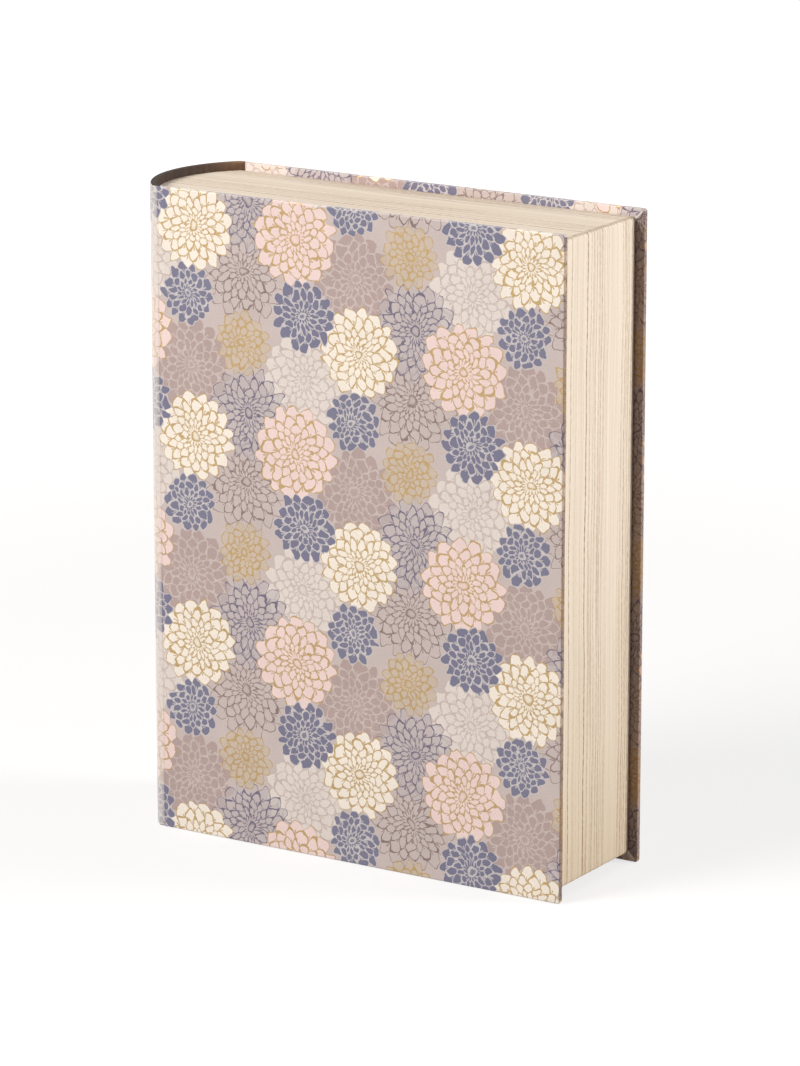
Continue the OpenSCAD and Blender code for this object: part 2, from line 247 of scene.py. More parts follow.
# One rosette in half-drop repeat, as a node group. At a distance r from the nearest centre the ring number
# is (rings + bow) * (r / radius) ** grow. Side by side petals are a triangle wave of the angle, shifted by
# half a petal from ring to ring, and a petal's tip reaches bow * (1 - wave ** roundness) into the next ring.
# Each petal has one long line on its middle and a short one on either side.
def makeRosetteGroup(design):
    group = bpy.data.node_groups.new("rosette", "ShaderNodeTree")
    names = ["Point", "Centre", "Radius", "Petals", "Rings", "Bow", "Roundness", "Line Width"]
    for name in names:
        kind = "NodeSocketVector" if name in ("Point", "Centre") else "NodeSocketFloat"
        group.interface.new_socket(name, in_out="INPUT", socket_type=kind)
    for name in ("Cover", "Line"):
        group.interface.new_socket(name, in_out="OUTPUT", socket_type="NodeSocketFloat")
    entry, leave = group.nodes.new("NodeGroupInput"), group.nodes.new("NodeGroupOutput")
    point, centre, radius, petals, rings, bow, roundness, lineWidth = entry.outputs[:8]
    cellW, cellH = design["cell"]
    edge, (sideEnd, sideAt) = design["edge"], design["sideLines"]
    far = 99  # mm, a gap so wide that no line is drawn
    shifted = addNode(group, "VectorMath", point, centre, operation="SUBTRACT")
    cells = addNode(group, "VectorMath", shifted, (cellW, cellH, 1), operation="DIVIDE")
    split = addNode(group, "SeparateXYZ", cells).node
    column = addNode(group, "Math", split.outputs[0], operation="ROUND")
    dropped = addNode(group, "Math", column, 0.5, split.outputs[1], operation="MULTIPLY_ADD")
    cellX = addNode(group, "Math", split.outputs[0], column, operation="SUBTRACT")
    cellY = addNode(group, "Math", dropped, 0.5, -0.5, operation="WRAP")
    x = addNode(group, "Math", cellX, cellW, operation="MULTIPLY")
    y = addNode(group, "Math", cellY, cellH, operation="MULTIPLY")
    away = addNode(group, "CombineXYZ", x, y, 0)
    r = addNode(group, "VectorMath", away, operation="LENGTH").node.outputs["Value"]
    bearing = addNode(group, "Math", y, x, operation="ARCTAN2")
    angle = addNode(group, "Math", column, design["turn"], bearing, operation="MULTIPLY_ADD")
    ringSpan = addNode(group, "Math", rings, bow, operation="ADD")
    share = addNode(group, "Math", r, radius, operation="DIVIDE")
    grown = addNode(group, "Math", share, design["grow"], operation="POWER")
    ringAt = addNode(group, "Math", grown, ringSpan, operation="MULTIPLY")
    ring = addNode(group, "Math", ringAt, operation="FLOOR")
    within = addNode(group, "Math", ringAt, operation="FRACT")
    turns = addNode(group, "Math", petals, 1 / math.pi, operation="MULTIPLY")
    phase = addNode(group, "Math", angle, turns, ring, operation="MULTIPLY_ADD")
    wave = addNode(group, "Math", phase, 1, operation="PINGPONG")
    curved = addNode(group, "Math", wave, roundness, operation="POWER")
    hollow = addNode(group, "Math", 1, curved, operation="SUBTRACT")
    tip = addNode(group, "Math", hollow, bow, operation="MULTIPLY")
    past = addNode(group, "Math", within, tip, operation="SUBTRACT")
    inTip = addNode(group, "Math", past, 0, operation="LESS_THAN")
    ringWide = addNode(group, "Math", radius, ringSpan, operation="DIVIDE")
    tipGap = addNode(group, "Math", past, operation="ABSOLUTE")
    tipGap = addNode(group, "Math", tipGap, ringWide, operation="MULTIPLY")
    petalHalf = addNode(group, "Math", r, turns, operation="DIVIDE")
    beside = addNode(group, "Math", wave, petalHalf, operation="MULTIPLY")
    sideGap = addNode(group, "Math", inTip, far, beside, operation="MULTIPLY_ADD")
    gap = addNode(group, "Math", tipGap, sideGap, operation="MINIMUM")
    thin = addNode(group, "Math", lineWidth, 0.5, operation="MULTIPLY")
    soft = addNode(group, "Math", thin, edge, operation="ADD")
    outline = addNode(group, "MapRange", gap, thin, soft, 1, 0, interpolation_type="SMOOTHSTEP")
    upper = addNode(group, "Math", within, design["middleLine"], operation="GREATER_THAN")
    elsewhere = addNode(group, "Math", inTip, upper, operation="MAXIMUM")
    toMiddle = addNode(group, "Math", 1, wave, operation="SUBTRACT")
    middleGap = addNode(group, "Math", toMiddle, petalHalf, operation="MULTIPLY")
    sideVein = addNode(group, "Math", toMiddle, sideAt, operation="SUBTRACT")
    sideVein = addNode(group, "Math", sideVein, operation="ABSOLUTE")
    sideVeinGap = addNode(group, "Math", sideVein, petalHalf, operation="MULTIPLY")
    beyond = addNode(group, "Math", within, sideEnd, operation="GREATER_THAN")
    sideVeinGap = addNode(group, "Math", beyond, far, sideVeinGap, operation="MULTIPLY_ADD")
    middleGap = addNode(group, "Math", middleGap, sideVeinGap, operation="MINIMUM")
    veinGap = addNode(group, "Math", elsewhere, far, middleGap, operation="MULTIPLY_ADD")
    veinThin = addNode(group, "Math", lineWidth, 0.25, operation="MULTIPLY")
    veinSoft = addNode(group, "Math", veinThin, edge, operation="ADD")
    vein = addNode(group, "MapRange", veinGap, veinThin, veinSoft, 0.8, 0, interpolation_type="SMOOTHSTEP")
    lines = addNode(group, "Math", outline, vein, operation="MAXIMUM")
    core = addNode(group, "MapRange", share, 0.06, 0.09, 0.35, 1)  # lines fade at the very centre
    lined = addNode(group, "Math", lines, core, operation="MULTIPLY")
    inside = addNode(group, "Math", ringAt, rings, operation="LESS_THAN")
    nextRing = addNode(group, "Math", rings, 1, operation="ADD")
    nearly = addNode(group, "Math", ringAt, nextRing, operation="LESS_THAN")
    lastTip = addNode(group, "Math", nearly, inTip, operation="MULTIPLY")
    cover = addNode(group, "Math", inside, lastTip, operation="MAXIMUM")
    line = addNode(group, "Math", lined, cover, operation="MULTIPLY")
    group.links.new(cover, leave.inputs["Cover"])
    group.links.new(line, leave.inputs["Line"])
    return group


# The rosettes are laid over each other on the paper's own map, in millimetres, so the print runs on round the
# folds. Where wear is above 0 the paper under the ink shows; below 0 a painted shade darkens the print.
def makePrintedPaper(design, layers):
    material, tree = newMaterial("mattPrintedPaper")
    group = makeRosetteGroup(design)
    flat = addNode(tree, "UVMap", uv_map="paperMap")
    large, largeSize, small, smallSize = design["wobble"]
    wavers = []
    for strength, size in ((large, largeSize), (small, smallSize)):
        sizes = {"Scale": 1 / size, "Detail": 1.0}
        noise = addNode(tree, "TexNoise", flat, named=sizes, noise_dimensions="2D").node.outputs["Color"]
        centred = addNode(tree, "VectorMath", noise, (0.5, 0.5, 0.5), operation="SUBTRACT")
        wavers.append(addNode(tree, "VectorMath", centred, named={"Scale": 2 * strength}, operation="SCALE"))
    waver = addNode(tree, "VectorMath", *wavers, operation="ADD")
    placed = addNode(tree, "VectorMath", flat, (*design["origin"], 0), operation="ADD")
    point = addNode(tree, "VectorMath", placed, waver, operation="ADD")
    # The pressure of the print swells and thins the lines over some 5 mm.
    pressure = addNode(tree, "TexNoise", flat, named={"Scale": 0.22, "Detail": 2.0}, noise_dimensions="2D")
    swell = addNode(tree, "MapRange", pressure, 0.3, 0.7, 0.5, 1.5)
    colour, gold = toLinear(design["ground"]), None
    for name, centre, radius, petals, rings, bow, roundness, fill, amount, ink, width, isGold in layers:
        lineWidth = addNode(tree, "Math", swell, width, operation="MULTIPLY")
        inputs = (point, (*centre, 0), radius, petals, rings, bow, roundness, lineWidth)
        cover, line = addNode(tree, "Group", *inputs, node_tree=group, label=name).node.outputs
        filled = addNode(tree, "Math", cover, amount, operation="MULTIPLY")
        colour = addNode(tree, "MixRGB", filled, colour, toLinear(fill))
        colour = addNode(tree, "MixRGB", line, colour, toLinear(ink))
        if gold is not None:
            bare = addNode(tree, "Math", 1, filled, operation="SUBTRACT")
            gold = addNode(tree, "Math", gold, bare, operation="MULTIPLY")
        if isGold:
            gold = line if gold is None else addNode(tree, "Math", gold, line, operation="MAXIMUM")
    # Tone: slow clouds 14 mm wide and the felt grain, 0.6 mm wide.
    cloud = addNode(tree, "TexNoise", flat, named={"Scale": 1 / 14, "Detail": 4.0}, noise_dimensions="2D")
    tone = addNode(tree, "MapRange", cloud, 0.3, 0.7, 0.965, 1.02)
    grain = addNode(tree, "TexNoise", flat, named={"Scale": 1.6, "Detail": 5.0, "Roughness": 0.65})
    speck = addNode(tree, "MapRange", grain, 0.3, 0.7, 0.9, 1.09, clamp=False)
    tone = addNode(tree, "Math", tone, speck, operation="MULTIPLY")
    toned = addNode(tree, "MixRGB", 1.0, colour, tone, blend_type="MULTIPLY")
    # Rubbed places and places of painted shade, broken up by patches 1.1 mm wide.
    rub = addNode(tree, "TexNoise", flat, named={"Scale": 0.9, "Detail": 3.0}, noise_dimensions="2D")
    rubbedAndPaintedLight = addNode(tree, "MapRange", rub, 0.35, 0.6, 0.78, 1.0)
    wearAndPaintedLight = addNode(tree, "Attribute", attribute_name="wearAndPaintedLight").node.outputs["Fac"]
    bareShare = addNode(tree, "Math", wearAndPaintedLight, rubbedAndPaintedLight, operation="MULTIPLY")
    toned = addNode(tree, "MixRGB", bareShare, toned, toLinear(design["core"]))
    # Below 0 the value multiplies a painted shade into the print, on the covers' fore-edges and in the
    # joint's crease.
    grime = addNode(tree, "MapRange", wearAndPaintedLight, 0, -1, 0, 1)
    patchy = addNode(tree, "MapRange", rub, 0.3, 0.6, 0.75, 1)
    grime = addNode(tree, "Math", grime, patchy, operation="MULTIPLY")
    toned = addNode(tree, "MixRGB", grime, toned, toLinear(design["soilAndShade"]), blend_type="MULTIPLY")
    metal = addNode(tree, "Math", gold, 0.35, operation="MULTIPLY")
    rough = addNode(tree, "MapRange", gold, 0, 1, 0.62, 0.42)
    bump = addNode(tree, "Bump", named={"Strength": 0.35, "Distance": 0.04 * mm, "Height": grain})
    sockets = {"Base Color": toned, "Metallic": metal, "Roughness": rough, "Normal": bump, "IOR": 1.5}
    shader = addNode(tree, "BsdfPrincipled", named=sockets)
    addNode(tree, "OutputMaterial", shader)
    return material


# Lining paper, dyed and matt: dark brown with long fibres that show as faint streaks, drawn 1.6 mm wide
# because real ones of 0.4 mm wouldn't show, and cloudy from the pulp. Where wear is above 0 a paler tone
# shows, partly the paper under the dye where it is rubbed and partly a painted light.
def makeLiningPaper():
    material, tree = newMaterial("dyedLiningPaper")
    place = addNode(tree, "TexCoord").node.outputs["Object"]
    longWay = addNode(tree, "Mapping", place, named={"Scale": (1, 1, 0.16)})
    streak = {"Scale": 1 / (1.6 * mm), "Detail": 6.0, "Roughness": 0.7}
    fibre = addNode(tree, "TexNoise", longWay, named=streak)
    cloud = addNode(tree, "TexNoise", place, named={"Scale": 1 / (18 * mm), "Detail": 3.0})
    mixed = addNode(tree, "Math", cloud, 0.35, fibre, operation="MULTIPLY_ADD")
    share = addNode(tree, "MapRange", mixed, 0.48, 0.88, 0, 1)
    colour = addNode(tree, "MixRGB", share, toLinear("#281E17"), toLinear("#44342B"))
    wearAndPaintedLight = addNode(tree, "Attribute", attribute_name="wearAndPaintedLight").node.outputs["Fac"]
    rubbedAndPaintedLight = addNode(tree, "MapRange", fibre, 0.35, 0.65, 0.75, 1.0)
    rubbedAndPaintedLight = addNode(tree, "Math", wearAndPaintedLight, rubbedAndPaintedLight, operation="MULTIPLY")
    # Paler tone: paper rubbed bare of dye by the back joint, and a painted light where the value fades.
    colour = addNode(tree, "MixRGB", rubbedAndPaintedLight, colour, toLinear("#8C6D53"))
    bump = addNode(tree, "Bump", named={"Strength": 0.4, "Distance": 0.05 * mm, "Height": fibre})
    sockets = {"Base Color": colour, "Roughness": 0.8, "Normal": bump, "IOR": 1.5, "Specular IOR Level": 0.3}
    addNode(tree, "OutputMaterial", addNode(tree, "BsdfPrincipled", named=sockets))
    return material


# Uncoated cream paper printed and creased to look like the edges of leaves: fine broken brown lines along the
# book's edge, some strong ones, soft lighter and darker bands, and a soiled fold at the corner.
pageLook = dict(
    paper="#F0E1CE",
    shade="#E4D3BB",
    line="#8E6238",
    # a darker, yellower tone towards the tail: a painted shade
    tailShade="#D5C2A8",
    soilAndShade="#A18A68",
    # lines that stand out: mm from the front rim, strength and width in mm
    lines=[
        (1.8, 0.5, 0.4), (3.7, 0.3, 0.4), (6.3, 0.4, 0.4), (10.0, 0.75, 0.50), (13.9, 0.30, 0.35),
        (16.1, 0.25, 0.35), (18.5, 0.22, 0.30), (22.0, 1.00, 0.60), (24.8, 0.55, 0.40), (27.2, 0.40, 0.35),
        (29.0, 0.55, 0.40), (31.4, 0.60, 0.40), (33.2, 0.65, 0.45), (34.8, 0.40, 0.35), (38.0, 0.30, 0.50),
        (49.3, 0.50, 0.40), (51.7, 0.70, 0.45), (53.0, 0.45, 0.35), (54.3, 0.50, 0.40), (56.2, 0.75, 0.45),
        (57.7, 0.70, 0.45),
    ],
    rim=(0.1, 1.0, 0.7),  # the same for the dark line along the base, from there: a painted shade where the pages meet the back cover
    # how dense the fine lines are at places across the depth, in millimetres from the front rim
    density=[
        (0, 0.7), (9, 0.45), (23, 0.55), (26, 0.95), (36, 0.9), (40, 0.3), (47, 0.35), (50, 0.9), (59, 0.8)
    ],
)


# The strongest of several soft bands across a value. Each is full up to one distance from its place and gone
# at another.
def softBands(tree, value, bands):
    strongest = None
    for place, full, gone, strength in bands:
        off = addNode(tree, "Math", value, place, operation="SUBTRACT")
        off = addNode(tree, "Math", off, operation="ABSOLUTE")
        one = addNode(tree, "MapRange", off, full, gone, strength, 0, interpolation_type="SMOOTHSTEP")
        strongest = one if strongest is None else addNode(tree, "Math", strongest, one, operation="MAXIMUM")
    return strongest


def makePageEdgePaper(look, depth, cornerWays):
    material, tree = newMaterial("printedPageEdgePaper")
    flat = addNode(tree, "UVMap", uv_map="paperMap")
    split = addNode(tree, "SeparateXYZ", flat).node
    along, across = split.outputs[0], split.outputs[1]
    # Fine lines: noise drawn out 150 times along the edge, cut to thin dark parts, broken by a second noise.
    drawnOut = addNode(tree, "Mapping", flat, named={"Scale": (1 / 120, 1 / 0.8, 1)})
    thread = addNode(tree, "TexNoise", drawnOut, named={"Scale": 1.0, "Detail": 2.0}, noise_dimensions="2D")
    dense = addNode(tree, "ValToRGB", addNode(tree, "Math", across, depth, operation="DIVIDE")).node
    stops = dense.color_ramp.elements
    for place, _ in look["density"][1:-1]:
        stops.new(place / depth)
    for stop, (place, amount) in zip(stops, look["density"]):
        stop.color = (amount, amount, amount, 1)
    fine = addNode(tree, "MapRange", thread, 0.53, 0.60, 0, 0.42)
    fine = addNode(tree, "Math", fine, dense.outputs[0], operation="MULTIPLY")
    broken = addNode(tree, "Mapping", flat, named={"Scale": (1 / 2.5, 1 / 0.5, 1)})
    speck = addNode(tree, "TexNoise", broken, named={"Scale": 1.0, "Detail": 4.0}, noise_dimensions="2D")
    gaps = addNode(tree, "MapRange", speck, 0.36, 0.58, 0.4, 1.0)
    # Strong lines, each at its place across the depth; the last, along the base, is a painted shade.
    fromBase, *rest = look["rim"]
    lines = look["lines"] + [(depth - fromBase, *rest)]
    strong = softBands(tree, across, [(at, 0.25 * wide, 0.8 * wide, much) for at, much, wide in lines])
    inked = addNode(tree, "Math", fine, strong, operation="MAXIMUM")
    inked = addNode(tree, "Math", inked, gaps, operation="MULTIPLY")
    # Bands: slow noise across the depth only.
    slow = addNode(tree, "Mapping", flat, named={"Scale": (1 / 400, 1 / 2.4, 1)})
    band = addNode(tree, "TexNoise", slow, named={"Scale": 1.0, "Detail": 2.0}, noise_dimensions="2D")
    shaded = addNode(tree, "MapRange", band, 0.35, 0.65, 0, 0.6)
    colour = addNode(tree, "MixRGB", shaded, toLinear(look["paper"]), toLinear(look["shade"]))
    # From 200 mm up down to the tail the paper turns darker and yellower, a painted shade, and its lines get
    # stronger.
    low = addNode(tree, "SeparateXYZ", addNode(tree, "TexCoord").node.outputs["Object"]).node.outputs[2]
    tailShade = addNode(tree, "MapRange", low, 0.2, 0.0, 0, 1)
    tailShade = addNode(tree, "Math", tailShade, 1.8, operation="POWER")
    colour = addNode(tree, "MixRGB", tailShade, colour, toLinear(look["tailShade"]))
    stronger = addNode(tree, "MapRange", tailShade, 0, 1, 1, 1.25)
    inked = addNode(tree, "Math", inked, stronger, operation="MULTIPLY")
    colour = addNode(tree, "MixRGB", inked, colour, toLinear(look["line"]))
    # Soil in patches along the two folded corners.
    patchy = addNode(tree, "MapRange", speck, 0.38, 0.6, 0.25, 1)
    soilAndShade = softBands(tree, along, [(at, 0.2, 1.8, 0.85) for at in cornerWays])
    soilAndShade = addNode(tree, "Math", soilAndShade, patchy, operation="MULTIPLY")
    colour = addNode(tree, "MixRGB", soilAndShade, colour, toLinear(look["soilAndShade"]))
    sizes = {"Scale": 2.0, "Detail": 5.0, "Roughness": 0.7}
    grain = addNode(tree, "TexNoise", flat, named=sizes, noise_dimensions="2D")
    fleck = addNode(tree, "MapRange", grain, 0.3, 0.7, 0.9, 1.09, clamp=False)
    colour = addNode(tree, "MixRGB", 1.0, colour, fleck, blend_type="MULTIPLY")
    pressed = addNode(tree, "Math", inked, -0.8, grain, operation="MULTIPLY_ADD")
    bump = addNode(tree, "Bump", named={"Strength": 0.5, "Distance": 0.06 * mm, "Height": pressed})
    sockets = {"Base Color": colour, "Roughness": 0.8, "Normal": bump, "IOR": 1.5}
    addNode(tree, "OutputMaterial", addNode(tree, "BsdfPrincipled", named=sockets))
    return material


# Greyboard: pressed waste paper, grey-brown, with dark and pale flecks.
def makeGreyboard():
    material, tree = newMaterial("pressedGreyboard")
    place = addNode(tree, "TexCoord").node.outputs["Object"]
    felt = addNode(tree, "TexNoise", place, named={"Scale": 900.0, "Detail": 6.0, "Roughness": 0.75})
    fleck = addNode(tree, "TexVoronoi", place, named={"Scale": 700.0})
    spots = addNode(tree, "MapRange", fleck, 0.0, 0.22, 0.5, 0)
    share = addNode(tree, "MapRange", felt, 0.35, 0.7, 0, 1)
    colour = addNode(tree, "MixRGB", share, toLinear("#8F887E"), toLinear("#B0A89C"))
    colour = addNode(tree, "MixRGB", spots, colour, toLinear("#6E675E"))
    bump = addNode(tree, "Bump", named={"Strength": 0.5, "Distance": 0.05 * mm, "Height": felt})
    sockets = {"Base Color": colour, "Roughness": 0.9, "Normal": bump, "IOR": 1.5}
    addNode(tree, "OutputMaterial", addNode(tree, "BsdfPrincipled", named=sockets))
    return material


# Nickel plate and cold-rolled steel: bright metals, the plate with rolling marks along its length.
def makeMetal(name, colourHex, rough, marks):
    material, tree = newMaterial(name)
    place = addNode(tree, "TexCoord").node.outputs["Object"]
    drawn = addNode(tree, "Mapping", place, named={"Scale": (marks, marks, 300)})
    noise = addNode(tree, "TexNoise", drawn, named={"Scale": 1.0, "Detail": 4.0})
    spread = addNode(tree, "MapRange", noise, 0.3, 0.7, rough * 0.8, rough * 1.3)
    bump = addNode(tree, "Bump", named={"Strength": 0.2, "Distance": 0.01 * mm, "Height": noise})
    sockets = {"Base Color": toLinear(colourHex), "Metallic": 1.0, "Roughness": spread, "Normal": bump}
    addNode(tree, "OutputMaterial", addNode(tree, "BsdfPrincipled", named=sockets))
    return material


# Camera, at the photograph's angle: it looks from the fore-edge side at the front cover, a little from above.
view = dict(
    azimuth=32.162, elevation=14.634, distance=2045.945, lens=172.7277, sensor=36.0,
    aimX=6.5, right=1.195, up=-3.181,
)


# From the book towards an azimuth, turned from the front cover to the fore-edge, and an elevation in degrees.
def towards(azimuth, elevation):
    a, e = math.radians(azimuth), math.radians(elevation)
    return np.array([math.sin(a) * math.cos(e), -math.cos(a) * math.cos(e), math.sin(e)])


def placeCamera(v):
    back = towards(v["azimuth"], v["elevation"])
    a = math.radians(v["azimuth"])
    right = np.array([math.cos(a), math.sin(a), 0.0])
    up = np.cross(back, right)
    aim = np.array([v["aimX"], 0.0, height / 2]) + right * v["right"] + up * v["up"]
    data = bpy.data.cameras.new("camera")
    data.lens, data.sensor_width, data.sensor_fit = v["lens"], v["sensor"], "AUTO"
    data.clip_start, data.clip_end = 0.05, 50.0
    camera = bpy.data.objects.new("camera", data)
    bpy.context.scene.collection.objects.link(camera)
    place = np.eye(4)
    place[:3] = np.column_stack([right, up, back, (aim + back * v["distance"]) * mm])
    camera.matrix_world = Matrix(place.tolist())
    bpy.context.scene.camera = camera


placeCamera(view)
print("camera placed")

# Studio: a matt paper floor that the camera sees as near white with the book's shadow on it, and large soft
# lamps.
studio = dict(
    floorSize=6.0,
    floorColour="#8E8C8A",
    floorLift=(0.73, 1.0),  # share of white that only the camera sees, beside the book and from liftReach on
    liftReach=(0.35, 1.3),
    ambient=0.10,
    lamps=[  # name, azimuth, elevation, distance, size in m, power in W
        ("key", -30, 34, 2.6, 1.5, 74.5),
        ("foreEdge", 115, 15, 2.4, 0.9, 54.0),
        ("top", 190, 76, 2.4, 1.2, 5.0),
    ],
)


# Light Path's share of a ray that ends in the camera, straight or through a mirror or glass.
def seenByCamera(tree):
    path = addNode(tree, "LightPath").node.outputs
    seen = addNode(tree, "Math", path["Is Camera Ray"], path["Is Glossy Ray"], operation="MAXIMUM")
    return addNode(tree, "Math", seen, path["Is Transmission Ray"], operation="MAXIMUM")


def makeStudio(s):
    material, tree = newMaterial("paleStudioFloor")
    place = addNode(tree, "TexCoord").node.outputs["Object"]
    away = addNode(tree, "VectorMath", place, operation="LENGTH").node.outputs["Value"]
    lift = addNode(tree, "MapRange", away, *s["liftReach"], *s["floorLift"], interpolation_type="SMOOTHSTEP")
    lift = addNode(tree, "Math", seenByCamera(tree), lift, operation="MULTIPLY")
    matt = addNode(tree, "BsdfDiffuse", toLinear(s["floorColour"]), 0.0)
    glow = addNode(tree, "Emission", (1, 1, 1, 1), lift)
    addNode(tree, "OutputMaterial", addNode(tree, "AddShader", matt, glow))
    half = s["floorSize"] / 2
    mesh = bpy.data.meshes.new("floor")
    low = -0.1 * mm  # just clear of the papers at the tail
    corners = [(-half, -half, low), (half, -half, low), (half, half, low), (-half, half, low)]
    mesh.from_pydata(corners, [], [(0, 1, 2, 3)])
    mesh.materials.append(material)
    floor = bpy.data.objects.new("floor", mesh)
    bpy.context.scene.collection.objects.link(floor)
    world = bpy.data.worlds.new("studio")
    world.use_nodes = True
    world.node_tree.nodes.clear()
    strength = addNode(world.node_tree, "MapRange", seenByCamera(world.node_tree), 0, 1, s["ambient"], 1)
    sky = addNode(world.node_tree, "Background", (1, 1, 1, 1), strength)
    addNode(world.node_tree, "OutputWorld", sky)
    bpy.context.scene.world = world
    centre = np.array([0, 0, height / 2 * mm])
    for name, azimuth, elevation, distance, size, power in s["lamps"]:
        back = towards(azimuth, elevation)
        light = bpy.data.lights.new(name, "AREA")
        light.shape, light.size, light.energy = "DISK", size, power
        lamp = bpy.data.objects.new(name, light)
        bpy.context.scene.collection.objects.link(lamp)
        lamp.location = centre + back * distance
        lamp.rotation_mode = "QUATERNION"
        lamp.rotation_quaternion = Vector(back).to_track_quat("Z", "Y")


makeStudio(studio)
bpy.context.scene.view_settings.view_transform = "Standard"
print("studio lit")

printedPaper = makePrintedPaper(printDesign, rosettes)
liningPaper = makeLiningPaper()
greyboard = makeGreyboard()
magnetNickel = makeMetal("nickelPlatedMagnet", "#C9C7C2", 0.25, 900)
keeperSteel = makeMetal("coldRolledSteel", "#A9AAAB", 0.35, 2500)
print("materials made")

# Cover papers: the printed paper on a cover's outer face, round three edges and turned in on the inner face.
coverPaper = dict(
    cornerR=1.0,
    foldR=0.5,
    turnIn=14.0,
    thick=0.25,
    foldWear=0.35,
    frontShade=1.0,  # painted shade on the front cover's fore-edge,
    backShade=0.85,  # and on the back cover's with its inner border
    sideSteps=40, foreSteps=56, arcSteps=7, foldSteps=6,
)


# The outer face is a flat grid, and the folded edge is carried round it. The map runs on outwards over the
# fold. A function marks the part of the section along the fore-edge that gets painted shade, and how much.
def coverGrids(c, x0, mapX, soilAndShade, shadedPart):
    d, y = foldedEdge(c["cornerR"], c["foldR"], coverThick, c["turnIn"], c["foldSteps"])
    steps = (c["sideSteps"], c["foreSteps"], c["arcSteps"])
    x, z, outX, outZ = sweepThreeSides(x0, coverWide, 0.0, height, c["cornerR"], d, *steps)
    run = lengthAlong(d, y)
    insetX, tailZ, headZ = coverWide - c["cornerR"], c["cornerR"], height - c["cornerR"]
    u = np.where(outX == 0, x, insetX) + outX * run
    v = np.where(outZ == 0, z, np.where(outZ < 0, tailZ, headZ)) + outZ * run
    edge = np.stack([x, np.broadcast_to(y, x.shape), z], -1)
    faceX, faceZ = np.meshgrid(x[:c["sideSteps"], 0], z[sum(steps[::2]):sum(steps[::2]) + c["foreSteps"], 0])
    face = np.stack([faceX, faceX * 0, faceZ], -1)
    atMitre = np.abs(outX * outZ) > 0
    for rows in (-1, 1):  # with the rows of the straight sides that end on the mitre
        atMitre |= np.roll(atMitre, rows, 0) | np.roll(atMitre, 2 * rows, 0)
    cut = atMitre * (d >= c["cornerR"]) * (y > 0)
    fold = c["foldWear"] * ((d < 0.35 * c["foldR"]) & (y > 0))
    wearAndPaintedLight = np.maximum(cut, fold)
    # Painted shade along the fore-edge, held as values below 0.
    wearAndPaintedLight = np.where((outX >= 1) & shadedPart(d, y) & (cut == 0), -soilAndShade, wearAndPaintedLight)
    return [(edge, np.stack([mapX(u), v], -1), wearAndPaintedLight), (face, np.stack([mapX(faceX), faceZ], -1))]


atEdge = lambda d, y: (d < 0.5) & (y > 0.15)
grids = coverGrids(coverPaper, coverLow[0], lambda x: x, coverPaper["frontShade"], atEdge)
frontPaper = makePiece("frontCoverPaper", grids, printedPaper, inside=(95, coverThick / 2, height / 2))
giveThickness(frontPaper, coverPaper["thick"])
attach(frontPaper, "front_cover")
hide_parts("front_cover_paper")
print("front cover papered")


# Falls from 1 to 0 over the joints' soft step, as 1 - smoothstep.
def softStep(x):
    rise = np.clip(x - stepStart, 0, 1)
    return 1 - rise * rise * (3 - 2 * rise)


# Plan of the spine's outer face, from the front joint round to the back cover: straight end, small round
# corner, large arc, small round corner, straight end and the soft step of the back joint.
def spinePlan(s, startX, endX):
    radius, cx, cy, small, endY = s["radius"], s["centreX"], s["centreY"], s["cornerR"], s["endY"]
    smallY = endY + small
    smallX = cx - math.sqrt((radius - small) ** 2 - (cy - smallY) ** 2)
    lean = math.atan2(cy - smallY, cx - smallX)
    straight = s["straightSteps"]
    x, y = [np.linspace(startX, smallX, straight)[:-1]], [np.full(straight - 1, endY)]
    corner = np.linspace(math.pi / 2, lean, s["cornerSteps"])[:-1]
    arc = (np.linspace(lean, -lean, s["arcSteps"]), cx, cy, radius)
    ends = (corner, smallX, smallY, small), (-corner[::-1], smallX, bookThick - smallY, small)
    for turn, atX, atY, r in (ends[0], arc, ends[1]):
        x.append(atX - r * np.cos(turn))
        y.append(atY - r * np.sin(turn))
    x.append(np.linspace(smallX, stepStart, straight)[1:])
    x.append(np.linspace(stepStart, endX, s["stepSteps"])[1:])
    y += [bookThick - endY * softStep(part) for part in x[-2:]]
    return np.concatenate(x), np.concatenate(y)


spinePaper = dict(
    foldR=0.5,
    tip=0.4,  # from the straight ends to the point of the board's end
    turnIn=10.0,
    thick=0.25,
    joinX=2.45,  # where the spine's end meets the front joint
    wallFrom=1.0,  # the plain wall begins and ends this far from tail and head
    foldSteps=6, heightSteps=60,
    cornerWear=0.6,
    cornerRub=(1.98, 4.18),  # mm from a corner: rubbed in full up to the first, not at all from the second
)


